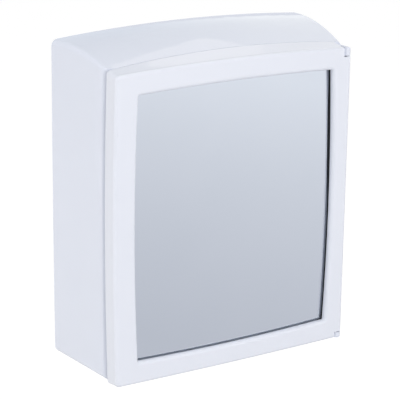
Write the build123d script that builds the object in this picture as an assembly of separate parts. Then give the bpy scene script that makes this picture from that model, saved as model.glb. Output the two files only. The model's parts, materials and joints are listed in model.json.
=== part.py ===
"""Moulded bathroom wall cabinet with a mirror door on the front.

Millimetres. X runs to the right as seen from the room, Y toward the wall, Z up. The origin is on the wall,
midway between the two hanging keyholes. A depth is a distance from the wall into the room, so y = -depth.
"""

from build123d import *
from functools import cache
from math import atan, degrees
import os

# Door
door_width = 316.0
door_height = 360.0
face_arch = 4.0
parting_arch = 9.5
door_draft = 2.0
door_sag = 1.2
door_swell = 3.0
door_corner = 5.0
door_round = 4.0
door_wall = 2.5
door_gap = 1.5

# Layers of the door, from the front to the back
door_face = 6.0
gasket_thickness = 3.0
glass_thickness = 3.0
backing_thickness = 2.5
press_rib_height = 4.5
cover_thickness = 2.0

# Mirror opening in the door
border_left = 29.0
border_right = 26.0
border_top = 25.0
border_bottom = 26.0
opening_swell = 4.0
opening_arch = 2.7
opening_corner = 1.0
opening_round = 4.5

# Mirror seat behind the door's face
gasket_setback = 2.5
glass_overlap = 5.0
glass_side_clearance = 0.5
locating_rib_thickness = 1.5

# Door back cover
cover_clearance = 0.3
cover_boss_inset = 7.5
cover_side_screw_offset = 92.0
press_rib_thickness = 2.0
press_rib_inset = 12.0
press_cross_ribs = 2

# Body
body_depth = 102.0
side_flare = 12.0
top_rise = 17.0
top_crown = 6.0
back_arch = 7.5
back_swell = 0.6
back_corner = 8.0
underside_rise = 3.0
body_lift = 3.5
body_wall = 2.5
flange_width = 12.0
catch_flange_width = 28.0
catch_tab_height = 84.0
catch_tab_root = 1.5
inside_sections = 4

# Finger groove along the body's left front edge, which crosses the side and the front at a slant
groove_radius = 21.0
groove_slant = 0.6

# Hanging keyholes, on a level line below the door's top corners
hang_drop = 45.0
hang_spacing = 220.0
keyhole_entry_radius = 5.0
keyhole_slot_width = 5.0
keyhole_rise = 10.0
keyhole_pad_border = 6.0
keyhole_pad_thickness = 2.0

# Back panel and its screws
panel_thickness = 2.5
panel_clearance = 0.3
panel_screw_end_margin = 34.0

# Shelves, as heights of their undersides over the body's lowest inside edge at the front
lower_shelf_height = 118.0
upper_shelf_height = 230.0
shelf_thickness = 3.0
shelf_clearance = 0.5
shelf_lip_height = 9.0
shelf_lip_thickness = 2.5
shelf_rib_height = 4.0
shelf_rib_thickness = 2.0
shelf_rib_count = 3
shelf_rib_end_gap = 14.0
ledge_width = 9.0
ledge_thickness = 3.0

# Hinge tongues at the right corners, with a pin in each
tongue_width = 9.0
upper_tongue_height = 10.0
lower_tongue_height = 7.0
tongue_root = 16.0
tongue_side_clearance = 1.8
tongue_end_clearance = 1.0
pin_radius = 1.5
pin_press = 0.01
pin_running_clearance = 0.05
pin_cap = 1.5
pin_engagement = 12.0
pin_bore_end_gap = 1.0
hinge_block_wall = 4.0

# Screws with flush countersunk heads, and the bosses that they bite in, all with flat sides to stay light
fastener_sides = 12
screw_head_radius = 3.0
screw_head_height = 1.6
screw_shank_radius = 1.4
screw_length = 11.0
screw_clearance = 0.05
screw_end_gap = 1.0
boss_radius = 3.5
boss_end_wall = 2.0

# Magnetic catch behind a tab of the left flange
catch_inset = 17.5
catch_width = 11.0
catch_height = 30.0
catch_depth = 14.0
catch_wall = 1.5
catch_ear_length = 9.0
catch_ear_thickness = 2.5
catch_boss_length = 8.0
catch_screw_length = 8.0
catch_fit = 0.2
pole_thickness = 1.6
pole_reach_gap = 0.4

# Striker on the door
striker_width = 12.0
striker_height = 40.0
striker_thickness = 1.0
striker_fit = 0.2
striker_screw_spacing = 30.0
striker_screw_head_radius = 2.2
striker_screw_head_height = 0.8
striker_screw_shank_radius = 1.0
striker_screw_length = 3.0
striker_boss_radius = 3.0

# Soft stops on the tab that holds the catch
bumper_radius = 4.0
bumper_gap = 0.3
bumper_end_margin = 8.0

# How far a cutter runs past the surface that it opens
cut_past = 1.0

# Places worked out from the sizes
door_left = -door_width / 2
door_right = door_width / 2
door_top = hang_drop
door_bottom = door_top - door_height
door_middle = (door_top + door_bottom) / 2
door_back = body_depth + door_gap
cover_inside = door_back + cover_thickness
backing_back = cover_inside + press_rib_height
glass_back = backing_back + backing_thickness
glass_front = glass_back + glass_thickness
face_back = glass_front + gasket_thickness
door_front = face_back + door_face
opening_left = door_left + border_left
opening_right = door_right - border_right
opening_top = door_top - border_top
opening_bottom = door_bottom + border_bottom
glass_left = opening_left - opening_swell - glass_overlap
glass_right = opening_right + opening_swell + glass_overlap
glass_top = opening_top + opening_arch + glass_overlap
glass_bottom = opening_bottom - opening_arch - glass_overlap
flange_back = body_depth - body_wall
body_top = door_top + door_draft
body_bottom = door_bottom - door_draft + body_lift
inside_bottom = body_bottom + body_wall
between_shelves = inside_bottom + (lower_shelf_height + upper_shelf_height) / 2
pin_x = door_right - tongue_width / 2
pin_depth = door_front - tongue_width / 2
groove_depth = body_depth - groove_radius + groove_slant
catch_x = door_left + catch_inset
catch_ear_back = flange_back - catch_boss_length - catch_ear_thickness

# End, way into the door and tongue height of each hinge; the way is +1 up and -1 down
UPPER_HINGE = (door_top, -1, upper_tongue_height)
LOWER_HINGE = (door_bottom, 1, lower_tongue_height)
HINGES = (UPPER_HINGE, LOWER_HINGE)

# Alignment of a primitive that grows from its plane toward the room
OUTWARD = (Align.CENTER, Align.CENTER, Align.MIN)

# Head radius, head height, shank radius and length of each kind of screw
MAIN_SCREW = (screw_head_radius, screw_head_height, screw_shank_radius, screw_length)
CATCH_SCREW = (screw_head_radius, screw_head_height, screw_shank_radius, catch_screw_length)
STRIKER_SCREW = (
    striker_screw_head_radius,
    striker_screw_head_height,
    striker_screw_shank_radius,
    striker_screw_length,
)


def facing_room(depth, x=0.0, z=0.0):
    """Place whose local axes are X, Z and the direction into the room."""
    return Plane.XZ.offset(depth).location * Pos(x, z, 0)


def swelled_face(left, right, top, bottom, arch, sag, left_swell, right_swell, corner):
    """Four-sided outline whose edges swell outward as arcs; a right edge with no swell is straight."""
    centre = (left + right) / 2
    middle = (top + bottom) / 2
    top_edge = ThreePointArc((right, top), (centre, top + arch), (left, top))
    left_edge = ThreePointArc((left, top), (left - left_swell, middle), (left, bottom))
    bottom_edge = ThreePointArc((left, bottom), (centre, bottom - sag), (right, bottom))
    if right_swell:
        right_edge = ThreePointArc((right, bottom), (right + right_swell, middle), (right, top))
    else:
        right_edge = Line((right, bottom), (right, top))
    face = make_face([top_edge, left_edge, bottom_edge, right_edge])
    return fillet(face.vertices(), corner)


def toward_room(face, depth, length):
    """Outline pushed into the room from a depth."""
    return extrude(Plane.XZ.offset(depth) * face, amount=length)


def spanning_box(x_low, x_high, depth_low, depth_high, z_low, z_high):
    """Box between two corners, with depths from the wall."""
    box = Box(x_high - x_low, depth_high - depth_low, z_high - z_low)
    return Pos((x_low + x_high) / 2, -(depth_low + depth_high) / 2, (z_low + z_high) / 2) * box


def door_outline(depth, inset):
    """Door cut parallel to the wall behind its face, made smaller by an inset; it grows backward."""
    backward = (face_back - depth) / (face_back - door_back)
    return swelled_face(
        door_left + inset,
        door_right - inset,
        door_top + door_draft * backward - inset,
        door_bottom - door_draft * backward + inset,
        face_arch + (parting_arch - face_arch) * backward,
        door_sag,
        door_swell,
        0,
        door_corner - inset,
    )


def door_rim(front, inset):
    """Solid form of the door from its back to a depth, made smaller all round by an inset."""
    outlines = [Plane.XZ.offset(depth) * door_outline(depth, inset) for depth in (door_back, front)]
    return loft(outlines, ruled=True)


def mirror_opening(growth):
    """Barrel-shaped hole in the door's face, made larger all round by a growth."""
    return swelled_face(
        opening_left - growth,
        opening_right + growth,
        opening_top + growth,
        opening_bottom - growth,
        opening_arch,
        opening_arch,
        opening_swell,
        opening_swell,
        opening_corner,
    )


def mirror_rectangle(growth):
    """Straight-cut outline of the mirror, made larger all round by a growth."""
    sheet = Rectangle(glass_right - glass_left + 2 * growth, glass_top - glass_bottom + 2 * growth)
    return Pos((glass_left + glass_right) / 2, (glass_top + glass_bottom) / 2) * sheet


def taper(depth):
    """Share of the body's widening that is reached at a depth: none at the front, all at the wall."""
    return 1 - depth / body_depth


def body_half_width(depth):
    """Half the body's outside width at its corners."""
    return door_width / 2 + side_flare * taper(depth)


def body_swell(depth):
    """How far the body's left side stands out in the middle of its height."""
    return back_swell * taper(depth) + door_swell * (1 - taper(depth))


def body_outline(depth, inset):
    """Body cut parallel to the wall at a depth, made smaller all round by an inset."""
    backward = taper(depth)
    forward = 1 - backward
    half_width = body_half_width(depth) - inset
    return swelled_face(
        -half_width,
        half_width,
        body_top + top_rise * backward + 4 * top_crown * forward * backward - inset,
        body_bottom + underside_rise * backward + inset,
        back_arch * backward + parting_arch * forward,
        door_sag,
        body_swell(depth),
        0,
        back_corner * backward + door_corner * forward - inset,
    )


def body_sections(depths, inset):
    """Body outlines set at their depths, to be joined by a skin."""
    return [Plane.XZ.offset(depth) * body_outline(depth, inset) for depth in depths]


def finger_groove(inset):
    """What the round finger groove takes from the left front edge of the body, or of the body's inside."""
    side = -body_half_width(groove_depth) - body_swell(groove_depth)
    axis_x = side + groove_radius - groove_slant
    height = door_height + 2 * top_rise
    edge = spanning_box(
        side - groove_radius,
        axis_x,
        groove_depth,
        body_depth + cut_past,
        door_middle - height / 2,
        door_middle + height / 2,
    )
    return edge - Pos(axis_x, -groove_depth, door_middle) * Cylinder(groove_radius - inset, height)


def body_outside():
    """Solid form of the body: crowned on top, widening to the wall, with the finger groove taken off."""
    return loft(body_sections((0, body_depth / 2, body_depth), 0)) - finger_groove(0)


@cache
def body_inside(inset):
    """The same form made smaller by an inset, in straight lengths between a few outlines."""
    front = body_depth - inset
    depths = [front * number / (inside_sections - 1) for number in range(inside_sections)]
    return loft(body_sections(depths, inset), ruled=True) - finger_groove(inset)


def fastener_section(radius):
    """Regular polygon whose sides touch a circle."""
    return RegularPolygon(radius, fastener_sides, major_radius=False)


def countersunk_screw(head_radius, head_height, shank_radius, length):
    """Screw with its flat head on the local plane and its shank toward the room."""
    slope = degrees(atan((head_radius - shank_radius) / head_height))
    head = extrude(fastener_section(head_radius), amount=head_height, taper=slope)
    return head + extrude(fastener_section(shank_radius), amount=length)


def screw_hole(head_radius, head_height, shank_radius, length):
    """Room for a countersunk screw with its clearance."""
    return countersunk_screw(
        head_radius + screw_clearance,
        head_height,
        shank_radius + screw_clearance,
        length + screw_end_gap,
    )


def screw_boss(start, stop, radius):
    """Post for a screw, between two distances from the screw's flat head."""
    return Pos(0, 0, start) * extrude(fastener_section(radius), amount=stop - start)


def closed_end(length):
    """Distance from a screw's flat head to the closed end of its boss."""
    return length + screw_end_gap + boss_end_wall


def panel_screw_places():
    """Two screws at each side of the back panel, close to the side walls."""
    x = body_half_width(0) - body_wall - boss_radius
    low = body_bottom + underside_rise + panel_screw_end_margin
    high = body_top + top_rise - panel_screw_end_margin
    return [facing_room(0, side * x, z) for side in (-1, 1) for z in (low, high)]


def cover_screw_places():
    """Two screws at each side of the door's back cover and one at each end."""
    sides = [
        (x, door_middle + way * cover_side_screw_offset)
        for x in (door_left + cover_boss_inset, door_right - cover_boss_inset)
        for way in (-1, 1)
    ]
    ends = [(0, door_bottom + cover_boss_inset), (0, door_top - cover_boss_inset)]
    return [facing_room(door_back, x, z) for x, z in sides + ends]


def catch_screw_places():
    """One screw through each ear of the catch housing."""
    reach = (catch_height + catch_ear_length) / 2
    return [facing_room(catch_ear_back, catch_x, between_shelves + way * reach) for way in (-1, 1)]


def striker_screw_places():
    """Two screws through the striker plate."""
    reach = striker_screw_spacing / 2
    return [facing_room(door_back, catch_x, between_shelves + way * reach) for way in (-1, 1)]


def pole_centres():
    """X of the two pole plates, against the magnet's sides."""
    reach = catch_width / 2 - catch_wall - catch_fit - pole_thickness / 2
    return [catch_x - reach, catch_x + reach]


def catch_box(half_width, depth_low, depth_high, half_height):
    """Box about the middle of the catch."""
    return spanning_box(
        catch_x - half_width,
        catch_x + half_width,
        depth_low,
        depth_high,
        between_shelves - half_height,
        between_shelves + half_height,
    )


def hinge_span(end, way, reach):
    """Lower and upper limit of a stretch from past the door's edge to a reach into the door."""
    return sorted((end - way * parting_arch, end + way * reach))


def hinge_tongue(end, way, height):
    """Tongue that comes forward from a body corner and ends round about the hinge axis."""
    root_depth = body_depth - tongue_root
    low, high = hinge_span(end, way, height)
    stem = spanning_box(door_right - tongue_width, door_right, root_depth, pin_depth, low, high)
    nose = Pos(pin_x, -pin_depth, (low + high) / 2) * Cylinder(tongue_width / 2, high - low)
    return (stem + nose) & toward_room(door_outline(face_back, 0), root_depth, door_front - root_depth)


def hinge_round(end, way, height, radius, spare=0.0):
    """Cylinder on the hinge axis from under a tongue's cap into the door."""
    start = end + way * pin_cap
    stop = end + way * (height + tongue_end_clearance + pin_engagement + spare)
    return Pos(pin_x, -pin_depth, (start + stop) / 2) * Cylinder(radius, abs(stop - start))


def hinge_blocks(growth):
    """Solid corners of the door that carry the pins, made larger by a growth."""
    left = door_right - tongue_width - tongue_side_clearance - hinge_block_wall - growth
    beyond = tongue_end_clearance + pin_engagement + pin_bore_end_gap + hinge_block_wall + growth
    return [
        spanning_box(left, door_right, door_back, face_back, *hinge_span(end, way, height + beyond))
        for end, way, height in HINGES
    ]


def hinge_notches():
    """Corners taken out of the door for the tongues."""
    left = door_right - tongue_width - tongue_side_clearance
    right = door_right + cut_past
    back = door_back - cut_past
    front = door_front + cut_past
    return [
        spanning_box(left, right, back, front, *hinge_span(end, way, height + tongue_end_clearance))
        for end, way, height in HINGES
    ]


def shelf_ledges(underside):
    """Moulded strips on both side walls under a shelf."""
    low = underside - ledge_thickness
    back = panel_thickness + panel_clearance
    half_width = body_half_width(0)
    strip = spanning_box(-half_width, half_width, back, flange_back, low, underside)
    at_wall = body_half_width(0) - body_wall - ledge_width
    at_front = body_half_width(body_depth) - body_wall - ledge_width
    right = [(at_wall, 0), (at_front, -body_depth)]
    left = [(-x, y) for x, y in reversed(right)]
    plan = make_face(Polyline(*right, *left, close=True))
    core = extrude(Plane.XY.offset(low) * plan, amount=ledge_thickness)
    return (strip - core) & body_inside(body_wall / 2)


def make_body_shell():
    """Moulded tray, open at the wall, with a returned front flange, ledges, bosses and hinge tongues."""
    shell = body_outside() - body_inside(body_wall)
    doorway = swelled_face(
        door_left + flange_width + door_swell,
        door_right - flange_width,
        door_top - flange_width,
        body_bottom + flange_width,
        parting_arch,
        door_sag,
        door_swell,
        0,
        door_corner,
    )
    shell -= toward_room(doorway, flange_back - cut_past, body_wall + 2 * cut_past)
    shell += spanning_box(
        door_left + flange_width - catch_tab_root,
        door_left + catch_flange_width,
        flange_back,
        body_depth,
        between_shelves - catch_tab_height / 2,
        between_shelves + catch_tab_height / 2,
    )
    for height in (lower_shelf_height, upper_shelf_height):
        shell += shelf_ledges(inside_bottom + height)
    for place in panel_screw_places():
        boss = place * screw_boss(panel_thickness, closed_end(screw_length), boss_radius)
        shell += boss & body_inside(body_wall / 2)
        shell -= place * screw_hole(*MAIN_SCREW)
    for place in catch_screw_places():
        shell += place * screw_boss(catch_ear_thickness, flange_back - catch_ear_back, boss_radius)
        shell -= place * screw_hole(*CATCH_SCREW)
    slot_half = pole_thickness / 2 + catch_fit
    slot_reach = catch_height / 2 - catch_wall
    slot = catch_box(slot_half, flange_back - cut_past, body_depth + cut_past, slot_reach)
    for x in pole_centres():
        shell -= Pos(x - catch_x, 0, 0) * slot
    for hinge in HINGES:
        shell += hinge_tongue(*hinge)
        shell -= hinge_round(*hinge, pin_radius - pin_press)
    return shell


def make_back_panel():
    """Flat panel in the body's open back, with thickened keyholes."""
    inset = body_wall + panel_clearance
    panel = toward_room(body_outline(panel_thickness, inset), 0, panel_thickness)
    pad_width = 2 * (keyhole_entry_radius + keyhole_pad_border)
    slot_middle = Pos(0, keyhole_rise / 2)
    for side in (-1, 1):
        place = facing_room(0, side * hang_spacing / 2)
        pad = slot_middle * SlotCenterToCenter(keyhole_rise, pad_width, rotation=90)
        panel += place * extrude(pad, amount=panel_thickness + keyhole_pad_thickness)
        slot = slot_middle * SlotCenterToCenter(keyhole_rise, keyhole_slot_width, rotation=90)
        keyhole = Circle(keyhole_entry_radius) + slot
        panel -= place * extrude(keyhole, amount=panel_thickness + keyhole_pad_thickness)
    for place in panel_screw_places():
        panel -= place * screw_hole(*MAIN_SCREW)
    return panel


def make_shelf(height):
    """Shelf that fits the widening side walls, with a front lip and ribs beneath."""
    underside = inside_bottom + height
    half_width = body_half_width(0)
    back = panel_thickness + keyhole_pad_thickness + shelf_clearance
    lip_back = flange_back - shelf_clearance - shelf_lip_thickness
    plate_top = underside + shelf_thickness
    lip_top = underside + shelf_lip_height
    plate = spanning_box(-half_width, half_width, back, body_depth, underside, plate_top)
    lip = spanning_box(-half_width, half_width, lip_back, body_depth, underside, lip_top)
    shelf = (plate + lip) & body_inside(body_wall + shelf_clearance)
    rib_half = body_half_width(body_depth) - body_wall - ledge_width - shelf_rib_end_gap
    pitch = (lip_back - back) / (shelf_rib_count + 1)
    for number in range(shelf_rib_count):
        rib_back = back + pitch * (number + 1) - shelf_rib_thickness / 2
        rib_front = rib_back + shelf_rib_thickness
        low = underside - shelf_rib_height
        shelf += spanning_box(-rib_half, rib_half, rib_back, rib_front, low, underside)
    return shelf


def make_door_frame():
    """Moulded front of the door: rounded face, rim, screw bosses, mirror seat and hinge corners."""
    frame = toward_room(door_outline(face_back, 0), face_back, door_face)
    frame = fillet(frame.faces().sort_by(Axis.Y)[0].edges(), door_round) + door_rim(face_back, 0)
    frame -= toward_room(mirror_opening(0), face_back, door_face)
    frame = fillet(frame.faces().sort_by(Axis.Y)[0].inner_wires()[0].edges(), opening_round)
    frame -= door_rim(face_back, door_wall) - hinge_blocks(0)
    for place in cover_screw_places():
        frame += place * screw_boss(cover_thickness, face_back - door_back, boss_radius)
        frame -= place * screw_hole(*MAIN_SCREW)
    seat = mirror_rectangle(glass_side_clearance)
    seat_wall = mirror_rectangle(glass_side_clearance + locating_rib_thickness) - seat
    frame += toward_room(seat_wall, backing_back, face_back - backing_back)
    frame -= toward_room(seat, backing_back, face_back - backing_back)
    frame -= hinge_notches()
    for hinge in HINGES:
        frame -= hinge_round(*hinge, pin_radius + pin_running_clearance, pin_bore_end_gap)
    return frame


def make_mirror_gasket():
    """Foam strip between the door's face and the glass, set back from the opening."""
    strip = mirror_rectangle(0) - mirror_opening(gasket_setback)
    return toward_room(strip, glass_front, gasket_thickness)


def make_mirror_glass():
    """Flat silvered glass."""
    return toward_room(mirror_rectangle(0), glass_back, glass_thickness)


def make_mirror_backing():
    """Hardboard sheet that the cover's ribs press on."""
    return toward_room(mirror_rectangle(0), backing_back, backing_thickness)


def make_door_back_cover():
    """Panel in the door's open back, with ribs that press the mirror forward."""
    cover = door_rim(cover_inside, door_wall + cover_clearance)
    cover -= hinge_blocks(cover_clearance)
    ring = mirror_rectangle(-press_rib_inset) - mirror_rectangle(-press_rib_inset - press_rib_thickness)
    cover += toward_room(ring, cover_inside, press_rib_height)
    pitch = (glass_top - glass_bottom) / (press_cross_ribs + 1)
    left = glass_left + press_rib_inset
    right = glass_right - press_rib_inset
    for number in range(press_cross_ribs):
        low = glass_bottom + pitch * (number + 1) - press_rib_thickness / 2
        cover += spanning_box(left, right, cover_inside, backing_back, low, low + press_rib_thickness)
    for place in cover_screw_places():
        cover -= place * screw_hole(*MAIN_SCREW)
    for place in striker_screw_places():
        boss = screw_boss(striker_thickness, closed_end(striker_screw_length), striker_boss_radius)
        cover += place * boss
        cover -= place * screw_hole(*STRIKER_SCREW)
    recess_width = striker_width + 2 * striker_fit
    recess_height = striker_height + 2 * striker_fit
    recess = Box(recess_width, recess_height, striker_thickness, align=OUTWARD)
    return cover - facing_room(door_back, catch_x, between_shelves) * recess


def make_striker_plate():
    """Steel plate flush in the cover, opposite the magnet's poles."""
    plate = Box(striker_width, striker_height, striker_thickness, align=OUTWARD)
    plate = facing_room(door_back, catch_x, between_shelves) * plate
    for place in striker_screw_places():
        plate -= place * screw_hole(*STRIKER_SCREW)
    return plate


def make_catch_housing():
    """Holder for the magnet, open toward the room, with an ear above and below."""
    half_width = catch_width / 2
    half_height = catch_height / 2
    back = flange_back - catch_depth
    block = catch_box(half_width, back, flange_back, half_height)
    ear_front = catch_ear_back + catch_ear_thickness
    ears = catch_box(half_width, catch_ear_back, ear_front, half_height + catch_ear_length)
    ears = fillet(ears.edges().filter_by(Axis.Y), half_width - catch_wall)
    pocket = catch_box(half_width - catch_wall, back + catch_wall, flange_back, half_height - catch_wall)
    housing = chamfer(block.faces().sort_by(Axis.Y)[-1].edges(), catch_wall / 2) + ears - pocket
    for place in catch_screw_places():
        housing -= place * screw_hole(*CATCH_SCREW)
    return housing


def make_catch_magnet():
    """Ferrite block between the pole plates."""
    half_width = catch_width / 2 - catch_wall - catch_fit - pole_thickness
    half_height = catch_height / 2 - catch_wall - catch_fit
    return catch_box(half_width, flange_back - catch_depth + catch_wall, flange_back, half_height)


def make_catch_pole_plates():
    """Two steel plates that pass through the flange and draw the striker."""
    back = flange_back - catch_depth + catch_wall
    half_height = catch_height / 2 - catch_wall - catch_fit
    plate = catch_box(pole_thickness / 2, back, door_back - pole_reach_gap, half_height)
    return [Pos(x - catch_x, 0, 0) * plate for x in pole_centres()]


def make_door_bumpers():
    """Soft discs on the catch's tab that the door closes on."""
    disc = extrude(fastener_section(bumper_radius), amount=door_gap - bumper_gap)
    reach = catch_tab_height / 2 - bumper_end_margin
    return [facing_room(body_depth, catch_x, between_shelves + way * reach) * disc for way in (-1, 1)]


def screw_group(places, size):
    """One screw at each place."""
    return [place * countersunk_screw(*size) for place in places]


def write(name, shape):
    """Store one piece, or a group of equal pieces, under its name."""
    if isinstance(shape, list):
        shape = Compound(children=shape)
    export_step(shape, f"parts/{name}.step")


os.makedirs("parts", exist_ok=True)
write("body_shell", make_body_shell())
write("back_panel", make_back_panel())
write("back_screws", screw_group(panel_screw_places(), MAIN_SCREW))
write("lower_shelf", make_shelf(lower_shelf_height))
write("upper_shelf", make_shelf(upper_shelf_height))
write("upper_hinge_pin", hinge_round(*UPPER_HINGE, pin_radius))
write("lower_hinge_pin", hinge_round(*LOWER_HINGE, pin_radius))
write("door_frame", make_door_frame())
write("mirror_gasket", make_mirror_gasket())
write("mirror_glass", make_mirror_glass())
write("mirror_backing", make_mirror_backing())
write("door_back_cover", make_door_back_cover())
write("cover_screws", screw_group(cover_screw_places(), MAIN_SCREW))
write("striker_plate", make_striker_plate())
write("striker_screws", screw_group(striker_screw_places(), STRIKER_SCREW))
write("catch_housing", make_catch_housing())
write("catch_magnet", make_catch_magnet())
write("catch_pole_plates", make_catch_pole_plates())
write("catch_screws", screw_group(catch_screw_places(), CATCH_SCREW))
write("door_bumpers", make_door_bumpers())
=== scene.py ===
"""Looks of a small hanging wall cabinet: white moulded body, mirror door, shelves, catch and pins."""

import json
import math

import bmesh
import bpy
from mathutils import Matrix, Vector


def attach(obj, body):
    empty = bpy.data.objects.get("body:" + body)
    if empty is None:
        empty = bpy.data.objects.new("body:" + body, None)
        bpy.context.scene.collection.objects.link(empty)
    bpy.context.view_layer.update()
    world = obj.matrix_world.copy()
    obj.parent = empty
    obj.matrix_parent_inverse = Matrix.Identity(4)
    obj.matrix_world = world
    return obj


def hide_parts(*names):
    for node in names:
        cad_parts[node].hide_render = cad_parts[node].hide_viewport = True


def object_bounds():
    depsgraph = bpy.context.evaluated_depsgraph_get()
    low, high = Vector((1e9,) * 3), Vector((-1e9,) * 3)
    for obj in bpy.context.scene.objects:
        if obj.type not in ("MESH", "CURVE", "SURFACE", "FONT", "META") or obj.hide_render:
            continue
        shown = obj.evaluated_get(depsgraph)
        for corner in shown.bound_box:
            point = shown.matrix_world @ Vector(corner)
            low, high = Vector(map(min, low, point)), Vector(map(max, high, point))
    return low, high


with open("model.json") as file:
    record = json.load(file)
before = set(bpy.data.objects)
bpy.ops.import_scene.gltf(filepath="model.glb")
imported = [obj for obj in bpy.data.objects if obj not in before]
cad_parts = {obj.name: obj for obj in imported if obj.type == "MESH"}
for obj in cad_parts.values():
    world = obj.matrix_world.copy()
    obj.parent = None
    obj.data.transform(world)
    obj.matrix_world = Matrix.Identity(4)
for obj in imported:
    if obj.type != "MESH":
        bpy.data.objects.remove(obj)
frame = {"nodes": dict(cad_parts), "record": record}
cad_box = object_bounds()
nodes = frame["nodes"]

MM = 0.001

# Camera of the photograph: angles in degrees, lengths in millimetres
camera_turn = 32.88
camera_height = 16.82
camera_roll = 0.74
camera_distance = 2096.0
camera_slide = 25.6
camera_drop = -13.6
camera_aim_height = -135.0
camera_lens = 156.96
camera_sensor = 36.0

# White tent: its light on things, and its brightness in reflections from the horizon to the top
tent_light = 0.70
tent_low = 0.95
tent_high = 1.0
tent_sheen = "#F0F4FF"

# Floor: lengths in metres, and the glow that helps it to show as white
floor_drop = 0.30
floor_reach = 6.0
floor_glow = 0.55
floor_paper = "#D0D0D0"

# Soft lamps: places in metres, light in watts
softbox_size = 1.6
softbox_aim = (0.0, 0.0, -0.13)
front_watts = 22.8
front_place = (-0.35, -2.4, 0.35)
side_watts = 11.0
side_place = (-2.1, 0.55, 0.2)

# Sheets that only reflections show: corners and levels in metres, and the ends of a fade along its slope
panel_level = 1.55
panel_glow = 1.62
panel_corners = ((1.28, 1.45), (-0.75, -0.55), (1.25, -0.90))
board_lift = 0.01
board_corners = ((-6, -6), (6, -6), (6, 6), (0.2, 6), (0.2, 0), (-6, 0))
board_slope = (0.888, -0.46, 0.0)
board_fade = (0.70, 2.54)
board_colours = ("#C7CAD4", "#ECEFF7")
board_glow = 1.0
canopy_level = 1.60
canopy_span = ((-1, 0), (7, 8))
canopy_slope = (1.0, -0.6, 0.0)
canopy_fade = (-0.25, 0.90)
canopy_colours = ("#D3DBE6", "#FAFDFF")
canopy_glow = 1.34

# Materials: index of refraction of the plastics, sizes of grain and depths of relief in millimetres
polystyrene_ior = 1.59
abs_ior = 1.54
plastic_cloud = 60
plastic_haze = 9
plastic_relief = 0.05
steel_scratch = 0.4
steel_relief = 0.005
wiped_patch = 80
foam_cell = 0.5
foam_relief = 0.1
hardboard_fibre = 1.5
hardboard_fleck = 6
hardboard_relief = 0.05
ferrite_grain = 0.6
ferrite_relief = 0.04
bumper_milk = 2

# Finish of the meshes: distances at which points join in millimetres, angles in degrees
triangle_join = 0.02
weld = 0.001
flat_within = 0.1
crease_angle = 28
rounded_from = 40
rounding_steps = 2
fastener_crease = 30
fastener_sides = 40

# Screws: head radius, head height, shank radius, length, recess width, recess depth in millimetres
main_screw = (3.0, 1.6, 1.4, 11.0, 0.85, 0.9)
catch_screw = (3.0, 1.6, 1.4, 8.0, 0.85, 0.9)
striker_screw = (2.2, 0.8, 1.0, 3.0, 0.65, 0.45)

# Cross recess: half its span as a share of the head's radius, and the share of the depth that each bar has
recess_span = 0.6
recess_depth_shares = (1.0, 0.9)
screw_turn_seed = 4

# Front edge of the body's arch, which is rolled over more than other edges: in millimetres and degrees
rim_face = -102.0
rim_margin = 0.1
rim_lowest = 48.0
rim_angle = 40.0
rim_roll = 1.3
rim_steps = 3

# Foam tape: the stretch where its black inner edge is moved toward the mirror, in millimetres; real tape,
# moved to paint shade into the slit
tape_side = (130.0, 140.0)
tape_wander = 2.5
tape_wander_height = -62.0
tape_wander_length = 170.0

# Soft bumpers: radius and height in millimetres
bumper_size = (4.0, 1.2)
bumper_rings = 20


def colour(code):
    """An sRGB hex value as the linear colour that a shader socket takes."""
    parts = [int(code[k : k + 2], 16) / 255 for k in (1, 3, 5)]
    return [p / 12.92 if p <= 0.04045 else ((p + 0.055) / 1.055) ** 2.4 for p in parts] + [1.0]


def add(tree, kind, inputs=None, **settings):
    """A node with its settings; an input is a value or the socket that feeds it."""
    made = tree.nodes.new(kind)
    for name, value in settings.items():
        setattr(made, name, value)
    for key, value in (inputs or {}).items():
        if isinstance(value, bpy.types.NodeSocket):
            tree.links.new(value, made.inputs[key])
        else:
            made.inputs[key].default_value = value
    return made


def new_material(name):
    """An empty node material and its tree."""
    made = bpy.data.materials.new(name)
    made.use_nodes = True
    made.node_tree.nodes.clear()
    return made, made.node_tree


def tinted(tree, mask, first, last):
    """Colour that goes from the first to the last as a mask goes from 0 to 1."""
    ramp = add(tree, "ShaderNodeValToRGB", {"Fac": mask})
    ramp.color_ramp.elements[0].color = colour(first)
    ramp.color_ramp.elements[1].color = colour(last)
    return ramp.outputs["Color"]


def surface(tree, **inputs):
    """The shader of a material, with its sockets named by words joined by underscores."""
    named = {key.replace("_", " "): value for key, value in inputs.items()}
    shader = add(tree, "ShaderNodeBsdfPrincipled", named)
    add(tree, "ShaderNodeOutputMaterial", {"Surface": shader.outputs["BSDF"]})
    return shader


# Materials


def moulded_plastic(name, tints, gloss, dull, ior, grain_mm=None):
    """Injection moulding: an even tint with slow clouds and a faint haze; a textured mould leaves grain."""
    made, tree = new_material(name)
    place = add(tree, "ShaderNodeTexCoord").outputs["Object"]
    cloud_scale = 1 / (plastic_cloud * MM)
    haze_scale = 1 / (plastic_haze * MM)
    cloud = add(tree, "ShaderNodeTexNoise", {"Vector": place, "Scale": cloud_scale, "Detail": 2.0})
    haze = add(tree, "ShaderNodeTexNoise", {"Vector": place, "Scale": haze_scale, "Detail": 3.0})
    sheen = add(tree, "ShaderNodeMapRange", {"Value": haze.outputs["Fac"], "To Min": gloss, "To Max": dull})
    shader = surface(
        tree,
        Base_Color=tinted(tree, cloud.outputs["Fac"], *tints),
        Roughness=sheen.outputs["Result"],
        IOR=ior,
    )
    if grain_mm:
        grain_scale = 1 / (grain_mm * MM)
        grain = add(tree, "ShaderNodeTexNoise", {"Vector": place, "Scale": grain_scale, "Detail": 1.0})
        relief = add(
            tree,
            "ShaderNodeBump",
            {"Height": grain.outputs["Fac"], "Distance": plastic_relief * MM},
        )
        tree.links.new(relief.outputs["Normal"], shader.inputs["Normal"])
    return made


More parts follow.
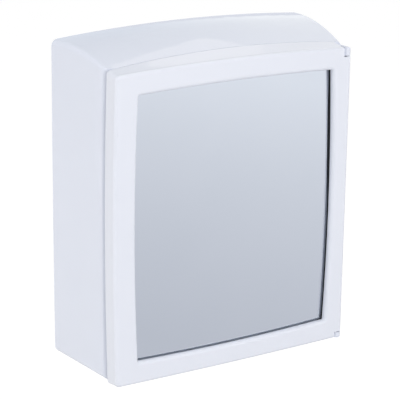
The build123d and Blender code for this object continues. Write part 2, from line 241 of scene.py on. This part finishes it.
def zinc_steel(name, tints, spangle_mm, stretch, smooth, rough):
    """Zinc-plated steel: grey metal whose crystals or drawing lines differ a little in tone and gloss."""
    made, tree = new_material(name)
    place = add(tree, "ShaderNodeTexCoord").outputs["Object"]
    drawn = add(tree, "ShaderNodeMapping", {"Vector": place, "Scale": stretch}).outputs["Vector"]
    spangle = add(tree, "ShaderNodeTexVoronoi", {"Vector": drawn, "Scale": 1 / (spangle_mm * MM)})
    tone = add(tree, "ShaderNodeSeparateColor", {"Color": spangle.outputs["Color"]}).outputs["Red"]
    sheen = add(tree, "ShaderNodeMapRange", {"Value": tone, "To Min": smooth, "To Max": rough})
    scratch_scale = 1 / (steel_scratch * MM)
    scratch = add(tree, "ShaderNodeTexNoise", {"Vector": drawn, "Scale": scratch_scale, "Detail": 2.0})
    relief = add(tree, "ShaderNodeBump", {"Height": scratch.outputs["Fac"], "Distance": steel_relief * MM})
    surface(
        tree,
        Base_Color=tinted(tree, tone, *tints),
        Metallic=1.0,
        Roughness=sheen.outputs["Result"],
        Normal=relief.outputs["Normal"],
    )
    return made


def silvered_glass(name):
    """Silvered float glass: a bright cool mirror, with a breath of haze where it was wiped."""
    made, tree = new_material(name)
    place = add(tree, "ShaderNodeTexCoord").outputs["Object"]
    patch_scale = 1 / (wiped_patch * MM)
    wiped = add(tree, "ShaderNodeTexNoise", {"Vector": place, "Scale": patch_scale, "Detail": 3.0})
    haze = add(tree, "ShaderNodeMapRange", {"Value": wiped.outputs["Fac"], "To Min": 0.015, "To Max": 0.04})
    surface(
        tree,
        Base_Color=tinted(tree, wiped.outputs["Fac"], "#EDF0F3", "#E9EDF0"),
        Metallic=1.0,
        Roughness=haze.outputs["Result"],
    )
    return made


def closed_cell_foam(name):
    """Black polyethylene foam tape: dull, with small cells that catch a little light."""
    made, tree = new_material(name)
    place = add(tree, "ShaderNodeTexCoord").outputs["Object"]
    cell = add(tree, "ShaderNodeTexVoronoi", {"Vector": place, "Scale": 1 / (foam_cell * MM)})
    relief = add(tree, "ShaderNodeBump", {"Height": cell.outputs["Distance"], "Distance": foam_relief * MM})
    surface(
        tree,
        Base_Color=tinted(tree, cell.outputs["Distance"], "#17171A", "#26272B"),
        Roughness=0.92,
        Normal=relief.outputs["Normal"],
    )
    return made


def pressed_hardboard(name):
    """Hardboard: brown pressed wood fibre, matted in all directions, with darker flecks of bark."""
    made, tree = new_material(name)
    place = add(tree, "ShaderNodeTexCoord").outputs["Object"]
    fibre = add(
        tree,
        "ShaderNodeTexNoise",
        {"Vector": place, "Scale": 1 / (hardboard_fibre * MM), "Detail": 6.0, "Distortion": 2.0},
    )
    fleck_scale = 1 / (hardboard_fleck * MM)
    fleck = add(tree, "ShaderNodeTexNoise", {"Vector": place, "Scale": fleck_scale, "Detail": 4.0})
    mat = add(
        tree,
        "ShaderNodeMath",
        {0: fibre.outputs["Fac"], 1: fleck.outputs["Fac"]},
        operation="MULTIPLY",
    )
    spread = add(tree, "ShaderNodeMapRange", {"Value": mat.outputs[0], "From Min": 0.1, "From Max": 0.45})
    relief = add(
        tree,
        "ShaderNodeBump",
        {"Height": fibre.outputs["Fac"], "Distance": hardboard_relief * MM},
    )
    surface(
        tree,
        Base_Color=tinted(tree, spread.outputs["Result"], "#6A4C33", "#9A7650"),
        Roughness=0.8,
        Normal=relief.outputs["Normal"],
    )
    return made


def sintered_ferrite(name):
    """Sintered ferrite: charcoal ceramic with fine grains."""
    made, tree = new_material(name)
    place = add(tree, "ShaderNodeTexCoord").outputs["Object"]
    grain_scale = 1 / (ferrite_grain * MM)
    grain = add(tree, "ShaderNodeTexNoise", {"Vector": place, "Scale": grain_scale, "Detail": 5.0})
    relief = add(tree, "ShaderNodeBump", {"Height": grain.outputs["Fac"], "Distance": ferrite_relief * MM})
    surface(
        tree,
        Base_Color=tinted(tree, grain.outputs["Fac"], "#232427", "#3A3B3E"),
        Roughness=0.6,
        Normal=relief.outputs["Normal"],
    )
    return made


def soft_polyurethane(name):
    """Cast polyurethane: milky, half clear and slightly tacky, so its highlight is soft."""
    made, tree = new_material(name)
    place = add(tree, "ShaderNodeTexCoord").outputs["Object"]
    milk_scale = 1 / (bumper_milk * MM)
    milk = add(tree, "ShaderNodeTexNoise", {"Vector": place, "Scale": milk_scale, "Detail": 2.0})
    sheen = add(tree, "ShaderNodeMapRange", {"Value": milk.outputs["Fac"], "To Min": 0.18, "To Max": 0.3})
    surface(
        tree,
        Base_Color=tinted(tree, milk.outputs["Fac"], "#E4E8EA", "#D6DCDF"),
        Roughness=sheen.outputs["Result"],
        IOR=1.5,
        Transmission_Weight=0.4,
    )
    return made


finishes = {
    "body_plastic": moulded_plastic(
        "polystyrene_body", ("#E5E9F4", "#E2E6F2"), gloss=0.02, dull=0.035, ior=polystyrene_ior
    ),
    # The door is tinted a touch lighter than the body, with the front lamp turned down to match: painted
    # light that brightens the door's side
    "door_plastic": moulded_plastic(
        "polystyrene_door_painted_lighter", ("#E9ECF5", "#E6E9F3"), gloss=0.06, dull=0.10, ior=polystyrene_ior
    ),
    "shelf_plastic": moulded_plastic(
        "polystyrene_shelf", ("#E5E9F2", "#E1E5EF"), gloss=0.12, dull=0.18, ior=polystyrene_ior
    ),
    "back_plastic": moulded_plastic(
        "polystyrene_back", ("#E2E5EA", "#DCDFE5"), gloss=0.42, dull=0.52, ior=polystyrene_ior, grain_mm=1.2
    ),
    "catch_plastic": moulded_plastic(
        "textured_abs", ("#E3E6EA", "#DDE0E4"), gloss=0.45, dull=0.55, ior=abs_ior, grain_mm=0.8
    ),
    "screw_steel": zinc_steel(
        "zinc_plated_screw", ("#C9CCD0", "#B4B8BD"), 0.9, stretch=(1, 1, 1), smooth=0.24, rough=0.36
    ),
    "pin_steel": zinc_steel(
        "drawn_steel_wire", ("#C2C4C7", "#ABAEB2"), 0.5, stretch=(1, 1, 0.05), smooth=0.20, rough=0.32
    ),
    "plate_steel": zinc_steel(
        "zinc_plated_sheet", ("#BFC2C6", "#A9ADB2"), 3.0, stretch=(1, 1, 1), smooth=0.28, rough=0.42
    ),
    "mirror": silvered_glass("silvered_float_glass"),
    "gasket_foam": closed_cell_foam("black_polyethylene_foam"),
    "backing_board": pressed_hardboard("pressed_hardboard"),
    "magnet_ferrite": sintered_ferrite("sintered_ferrite"),
    "bumper_rubber": soft_polyurethane("cast_polyurethane"),
}
slot_of = {part["node"]: part["material_slot"] for part in frame["record"]["subparts"]}
body_of = {node: body for body, held in frame["record"]["behaviour"]["bodies"].items() for node in held}


# Pieces


def stand_for(piece, node):
    """The piece takes a CAD node's place on its body, and the node is hidden."""
    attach(piece, body_of[node])
    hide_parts(node)


def joined(node):
    """Form of a CAD node with its loose triangles joined."""
    form = bmesh.new()
    form.from_mesh(nodes[node].data)
    bmesh.ops.remove_doubles(form, verts=form.verts, dist=triangle_join * MM)
    return form


def tape_widens_slit_shade(form):
    """Moves the black foam tape inward at the upper right, so that it widens the dark slit there: real
    tape, moved as painted shade of the gap.
    """
    for vertex in form.verts:
        if tape_side[0] < vertex.co.x / MM < tape_side[1]:
            along = math.pi * (vertex.co.z / MM - tape_wander_height) / tape_wander_length
            if abs(along) < math.pi / 2:
                vertex.co.x -= tape_wander * MM * math.cos(along)


def rolled_rim(form):
    """Rolls over the front edge of the body's arch, so that it catches the light."""
    rim = []
    for edge in form.edges:
        ends = [vertex.co / MM for vertex in edge.verts]
        in_face = all(abs(end.y - rim_face) < rim_margin and end.z > rim_lowest for end in ends)
        if in_face and edge.calc_face_angle(0.0) > math.radians(rim_angle):
            rim.append(edge)
    bmesh.ops.bevel(
        form,
        geom=rim,
        offset=rim_roll * MM,
        offset_type="OFFSET",
        segments=rim_steps,
        profile=0.5,
        affect="EDGES",
        clamp_overlap=True,
    )


def softened(node, edge_mm, shape=None):
    """A copy of a CAD node with rounded edges and smooth curved faces, reshaped first where asked."""
    form = joined(node)
    flat = math.radians(flat_within)
    bmesh.ops.dissolve_limit(form, angle_limit=flat, verts=form.verts, edges=form.edges)
    if shape:
        shape(form)
    for face in form.faces:
        face.smooth = True
    mesh = bpy.data.meshes.new(node + "_finished")
    form.to_mesh(mesh)
    form.free()
    mesh.materials.append(finishes[slot_of[node]])
    mesh.set_sharp_from_angle(angle=math.radians(crease_angle))
    piece = bpy.data.objects.new(node + "_finished", mesh)
    bpy.context.scene.collection.objects.link(piece)
    rounding = piece.modifiers.new("edge_round", "BEVEL")
    rounding.width = edge_mm * MM
    rounding.segments = rounding_steps
    rounding.limit_method = "ANGLE"
    rounding.angle_limit = math.radians(rounded_from)
    rounding.use_clamp_overlap = True
    closing = piece.modifiers.new("closed_slivers", "WELD")
    closing.merge_threshold = weld * MM
    shading = piece.modifiers.new("flat_faces_flat", "WEIGHTED_NORMAL")
    shading.keep_sharp = True
    stand_for(piece, node)


def heads(node):
    """Middle of the flat end of each fastener in a CAD group, in the order of its mesh."""
    form = joined(node)
    seen = set()
    places = []
    for start in form.verts:
        if start in seen:
            continue
        seen.add(start)
        island = [start]
        for vertex in island:
            for edge in vertex.link_edges:
                other = edge.other_vert(vertex)
                if other not in seen:
                    seen.add(other)
                    island.append(other)
        low = [min(v.co[k] for v in island) for k in range(3)]
        high = [max(v.co[k] for v in island) for k in range(3)]
        places.append(Vector(((low[0] + high[0]) / 2, high[1], (low[2] + high[2]) / 2)))
    form.free()
    return places


def new_tree(name, sizes):
    """A geometry tree with its places, sizes and finish as named inputs."""
    tree = bpy.data.node_groups.new(name, "GeometryNodeTree")
    tree.is_modifier = True
    tree.interface.new_socket("Places", in_out="INPUT", socket_type="NodeSocketGeometry")
    for size in sizes:
        tree.interface.new_socket(size, in_out="INPUT", socket_type="NodeSocketFloat")
    tree.interface.new_socket("Finish", in_out="INPUT", socket_type="NodeSocketMaterial")
    tree.interface.new_socket("Fasteners", in_out="OUTPUT", socket_type="NodeSocketGeometry")
    return tree, add(tree, "NodeGroupInput").outputs


def set_on_places(tree, given, form, turn):
    """The end of a tree: the form on every place, made real, in its finish."""
    spread = add(
        tree,
        "GeometryNodeInstanceOnPoints",
        {"Points": given["Places"], "Instance": form, "Rotation": turn},
    )
    real = add(tree, "GeometryNodeRealizeInstances", {"Geometry": spread.outputs["Instances"]})
    coat = add(tree, "GeometryNodeSetMaterial", {"Geometry": real.outputs[0], "Material": given["Finish"]})
    add(tree, "NodeGroupOutput", {"Fasteners": coat.outputs[0]})


def cross_screw_tree():
    """Countersunk screw: a cone head on a round shank, with a cross recess in the flat face."""
    tree, given = new_tree(
        "cross_recess_screws",
        ("Head Radius", "Head Height", "Shank Radius", "Length", "Recess Width", "Recess Depth"),
    )
    head = add(
        tree,
        "GeometryNodeMeshCone",
        {
            "Vertices": fastener_sides,
            "Radius Top": given["Shank Radius"],
            "Radius Bottom": given["Head Radius"],
            "Depth": given["Head Height"],
        },
    )
    # Each bar of the recess is centred on the flat face, so half of its height cuts
    span = add(tree, "ShaderNodeMath", {0: given["Head Radius"], 1: 2 * recess_span}, operation="MULTIPLY")
    wings = (
        {"X": span.outputs[0], "Y": given["Recess Width"]},
        {"X": given["Recess Width"], "Y": span.outputs[0]},
    )
    cut = add(tree, "GeometryNodeMeshBoolean", {0: head.outputs["Mesh"]}, operation="DIFFERENCE")
    for wing, share in zip(wings, recess_depth_shares):
        deep = add(tree, "ShaderNodeMath", {0: given["Recess Depth"], 1: 2 * share}, operation="MULTIPLY")
        size = add(tree, "ShaderNodeCombineXYZ", {**wing, "Z": deep.outputs[0]})
        bar = add(tree, "GeometryNodeMeshCube", {"Size": size.outputs[0]})
        tree.links.new(bar.outputs["Mesh"], cut.inputs[1])
    below = add(tree, "ShaderNodeMath", {0: given["Length"], 1: given["Head Height"]}, operation="SUBTRACT")
    shank = add(
        tree,
        "GeometryNodeMeshCylinder",
        {"Vertices": fastener_sides, "Radius": given["Shank Radius"], "Depth": below.outputs[0]},
    )
    ends = add(tree, "ShaderNodeMath", {0: given["Length"], 1: given["Head Height"]}, operation="ADD")
    middle = add(tree, "ShaderNodeMath", {0: ends.outputs[0], 1: 2.0}, operation="DIVIDE")
    lift = add(tree, "ShaderNodeCombineXYZ", {"Z": middle.outputs[0]})
    shank = add(
        tree,
        "GeometryNodeTransform",
        {"Geometry": shank.outputs["Mesh"], "Translation": lift.outputs[0]},
    )
    both = add(tree, "GeometryNodeJoinGeometry")
    tree.links.new(cut.outputs["Mesh"], both.inputs[0])
    tree.links.new(shank.outputs["Geometry"], both.inputs[0])
    # The discs between head and shank go, and the two are joined where they met
    place = add(tree, "GeometryNodeInputPosition")
    height = add(tree, "ShaderNodeSeparateXYZ", {"Vector": place.outputs[0]}).outputs["Z"]
    between = add(
        tree,
        "FunctionNodeCompare",
        {"A": height, "B": given["Head Height"], "Epsilon": weld * MM},
        data_type="FLOAT",
        operation="EQUAL",
    )
    hollow = add(
        tree,
        "GeometryNodeDeleteGeometry",
        {"Geometry": both.outputs[0], "Selection": between.outputs[0]},
        domain="FACE",
        mode="ONLY_FACE",
    )
    whole = add(tree, "GeometryNodeMergeByDistance", {"Geometry": hollow.outputs[0], "Distance": weld * MM})
    chance = add(
        tree,
        "FunctionNodeRandomValue",
        {2: 0.0, 3: math.pi / 2, "Seed": screw_turn_seed},
        data_type="FLOAT",
    )
    turn = add(tree, "ShaderNodeCombineXYZ", {"X": math.pi / 2, "Y": chance.outputs[1]})
    set_on_places(tree, given, whole.outputs[0], turn.outputs[0])
    return tree


def bumper_tree():
    """Soft bumper: a low dome with a flat foot."""
    tree, given = new_tree("soft_bumpers", ("Radius", "Height"))
    ball = add(
        tree,
        "GeometryNodeMeshUVSphere",
        {"Segments": fastener_sides, "Rings": bumper_rings, "Radius": 1.0},
    )
    place = add(tree, "GeometryNodeInputPosition")
    apart = add(tree, "ShaderNodeSeparateXYZ", {"Vector": place.outputs[0]})
    above = add(tree, "ShaderNodeMath", {0: apart.outputs["Z"], 1: 0.0}, operation="MAXIMUM")
    size = add(
        tree,
        "ShaderNodeCombineXYZ",
        {"X": given["Radius"], "Y": given["Radius"], "Z": given["Height"]},
    )
    flat = add(
        tree,
        "ShaderNodeCombineXYZ",
        {"X": apart.outputs["X"], "Y": apart.outputs["Y"], "Z": above.outputs[0]},
    )
    sized = add(
        tree,
        "ShaderNodeVectorMath",
        {0: flat.outputs[0], 1: size.outputs[0]},
        operation="MULTIPLY",
    )
    dome = add(
        tree,
        "GeometryNodeSetPosition",
        {"Geometry": ball.outputs["Mesh"], "Position": sized.outputs[0]},
    )
    turn = add(tree, "ShaderNodeCombineXYZ", {"X": math.pi / 2})
    set_on_places(tree, given, dome.outputs["Geometry"], turn.outputs[0])
    return tree


def fastened(node, tree, sizes_mm):
    """The fasteners of a CAD group, made by a tree and turned into one plain mesh."""
    mesh = bpy.data.meshes.new(node + "_places")
    mesh.from_pydata(heads(node), [], [])
    piece = bpy.data.objects.new(node + "_finished", mesh)
    bpy.context.scene.collection.objects.link(piece)
    maker = piece.modifiers.new("maker", "NODES")
    maker.node_group = tree
    # The first input is the places themselves, and the last is the finish
    sockets = [item for item in tree.interface.items_tree if item.in_out == "INPUT"][1:]
    for socket, size in zip(sockets, sizes_mm):
        maker[socket.identifier] = size * MM
    maker[sockets[-1].identifier] = finishes[slot_of[node]]
    evaluated = piece.evaluated_get(bpy.context.evaluated_depsgraph_get())
    plain = bpy.data.meshes.new_from_object(evaluated)
    plain.shade_smooth()
    plain.set_sharp_from_angle(angle=math.radians(fastener_crease))
    piece.modifiers.remove(maker)
    piece.data = plain
    stand_for(piece, node)


edge_rounding_mm = {
    "door_frame": 0.5,
    "back_panel": 0.4,
    "lower_shelf": 0.5,
    "upper_shelf": 0.5,
    "door_back_cover": 0.4,
    "mirror_glass": 0.4,
    "mirror_backing": 0.3,
    "catch_housing": 0.3,
    "catch_magnet": 0.2,
    "catch_pole_plates": 0.15,
    "striker_plate": 0.15,
    "upper_hinge_pin": 0.3,
    "lower_hinge_pin": 0.3,
    "body_shell": 0.7,
    "mirror_gasket": 0.4,
}
# The body's rim is rolled over, and the mirror's foam tape is shifted into the slit beside the mirror as
# painted shade
reshaped = {"body_shell": rolled_rim, "mirror_gasket": tape_widens_slit_shade}
for node, edge in edge_rounding_mm.items():
    softened(node, edge, reshaped.get(node))

screw_tree = cross_screw_tree()
fastened("back_screws", screw_tree, main_screw)
fastened("cover_screws", screw_tree, main_screw)
fastened("catch_screws", screw_tree, catch_screw)
fastened("striker_screws", screw_tree, striker_screw)
fastened("door_bumpers", bumper_tree(), bumper_size)


# Stage


def place_camera():
    """The photograph's camera, without shift."""
    turn, height, roll = (math.radians(a) for a in (camera_turn, camera_height, camera_roll))
    back = Vector((
        -math.sin(turn) * math.cos(height),
        -math.cos(turn) * math.cos(height),
        math.sin(height),
    ))
    level = (-back).cross(Vector((0, 0, 1))).normalized()
    upright = level.cross(-back)
    across = level * math.cos(roll) + upright * math.sin(roll)
    rise = upright * math.cos(roll) - level * math.sin(roll)
    lens = bpy.data.cameras.new("camera")
    lens.lens = camera_lens
    lens.sensor_width = camera_sensor
    lens.clip_start = 0.01
    lens.clip_end = 100.0
    made = bpy.data.objects.new("camera", lens)
    turned = Matrix((across, rise, back)).transposed().to_4x4()
    spot = back * camera_distance + across * camera_slide + rise * camera_drop
    spot += Vector((0, 0, camera_aim_height))
    made.matrix_world = Matrix.Translation(spot * MM) @ turned
    bpy.context.scene.collection.objects.link(made)
    bpy.context.scene.camera = made


def seen_directly(tree):
    """1 for rays from the camera, from gloss and through glass, and 0 for light that falls on things."""
    ray = add(tree, "ShaderNodeLightPath").outputs
    seen = ray["Is Camera Ray"]
    for kind in ("Is Glossy Ray", "Is Transmission Ray"):
        seen = add(tree, "ShaderNodeMath", {0: seen, 1: ray[kind]}, operation="MAXIMUM").outputs[0]
    return seen


def make_world():
    """A white tent: even light on things, white to the eye, and a little greyer low down in reflections."""
    world = bpy.data.worlds.new("white_tent")
    world.use_nodes = True
    tree = world.node_tree
    tree.nodes.clear()
    way = add(tree, "ShaderNodeTexCoord").outputs["Generated"]
    height = add(tree, "ShaderNodeSeparateXYZ", {"Vector": way}).outputs["Z"]
    fade = add(tree, "ShaderNodeMapRange", {"Value": height, "To Min": tent_low, "To Max": tent_high})
    ray = add(tree, "ShaderNodeLightPath").outputs
    light = add(tree, "ShaderNodeBackground", {"Color": colour("#FFFFFF"), "Strength": tent_light})
    sheen = add(
        tree,
        "ShaderNodeBackground",
        {"Color": colour(tent_sheen), "Strength": fade.outputs["Result"]},
    )
    plain = add(tree, "ShaderNodeBackground", {"Color": colour("#FFFFFF"), "Strength": 1.0})
    eye = add(
        tree,
        "ShaderNodeMath",
        {0: ray["Is Camera Ray"], 1: ray["Is Transmission Ray"]},
        operation="MAXIMUM",
    )
    lit = add(
        tree,
        "ShaderNodeMixShader",
        {0: ray["Is Glossy Ray"], 1: light.outputs[0], 2: sheen.outputs[0]},
    )
    seen = add(tree, "ShaderNodeMixShader", {0: eye.outputs[0], 1: lit.outputs[0], 2: plain.outputs[0]})
    add(tree, "ShaderNodeOutputWorld", {"Surface": seen.outputs[0]})
    bpy.context.scene.world = world


def stage_sheet(name, corners, level, material):
    """A level sheet that belongs to the stage."""
    mesh = bpy.data.meshes.new(name)
    mesh.from_pydata([(x, y, level) for x, y in corners], [], [range(len(corners))])
    mesh.materials.append(material)
    made = bpy.data.objects.new(name, mesh)
    bpy.context.scene.collection.objects.link(made)
    return made


def rectangle(low, high):
    """Corners of a rectangle, in order."""
    return (low, (high[0], low[1]), high, (low[0], high[1]))


def only_in_gloss(sheet):
    """Leaves a sheet to be seen in reflections and nowhere else."""
    sheet.visible_camera = False
    sheet.visible_diffuse = False
    sheet.visible_shadow = False
    sheet.visible_transmission = False


def floor_material():
    """Pale paper that shows as white and still takes the cabinet's shadow."""
    made, tree = new_material("pale_floor")
    strength = add(tree, "ShaderNodeMath", {0: seen_directly(tree), 1: floor_glow}, operation="MULTIPLY")
    glow = add(tree, "ShaderNodeEmission", {"Color": colour("#FFFFFF"), "Strength": strength.outputs[0]})
    paper = add(tree, "ShaderNodeBsdfDiffuse", {"Color": colour(floor_paper)})
    both = add(tree, "ShaderNodeAddShader", {0: glow.outputs[0], 1: paper.outputs[0]})
    add(tree, "ShaderNodeOutputMaterial", {"Surface": both.outputs[0]})
    return made


def fade_material(name, slope, ends, colours, strength):
    """Glowing cloth that goes from one colour to another along a slope."""
    made, tree = new_material(name)
    place = add(tree, "ShaderNodeTexCoord").outputs["Object"]
    away = add(tree, "ShaderNodeVectorMath", {0: place, 1: slope}, operation="DOT_PRODUCT").outputs["Value"]
    fade = add(tree, "ShaderNodeMapRange", {"Value": away, "From Min": ends[0], "From Max": ends[1]})
    cloth = tinted(tree, fade.outputs["Result"], *colours)
    glow = add(tree, "ShaderNodeEmission", {"Color": cloth, "Strength": strength})
    add(tree, "ShaderNodeOutputMaterial", {"Surface": glow.outputs[0]})
    return made


def panel_material():
    """White cloth of an overhead panel that the top of the cabinet mirrors."""
    made, tree = new_material("panel_cloth")
    glow = add(tree, "ShaderNodeEmission", {"Color": colour("#FFFFFF"), "Strength": panel_glow})
    add(tree, "ShaderNodeOutputMaterial", {"Surface": glow.outputs[0]})
    return made


def softbox(name, place, watts):
    """A square soft lamp aimed at the cabinet and not mirrored in it."""
    lamp = bpy.data.lights.new(name, "AREA")
    lamp.size = softbox_size
    lamp.energy = watts
    made = bpy.data.objects.new(name, lamp)
    made.location = place
    made.rotation_euler = (Vector(softbox_aim) - Vector(place)).to_track_quat("-Z", "Y").to_euler()
    made.visible_glossy = False
    bpy.context.scene.collection.objects.link(made)


place_camera()
make_world()
floor_level = cad_box[0].z - floor_drop
floor_corners = rectangle((-floor_reach, -floor_reach), (floor_reach, floor_reach))
stage_sheet("floor", floor_corners, floor_level, floor_material())
grey_board = fade_material("grey_board", board_slope, board_fade, board_colours, board_glow)
only_in_gloss(stage_sheet("mirror_board", board_corners, floor_level + board_lift, grey_board))
only_in_gloss(stage_sheet("overhead_panel", panel_corners, panel_level, panel_material()))
canopy_cloth = fade_material("canopy_cloth", canopy_slope, canopy_fade, canopy_colours, canopy_glow)
only_in_gloss(stage_sheet("canopy", rectangle(*canopy_span), canopy_level, canopy_cloth))

softbox("front_softbox", front_place, front_watts)
softbox("side_softbox", side_place, side_watts)

bpy.context.scene.view_settings.view_transform = "Standard"
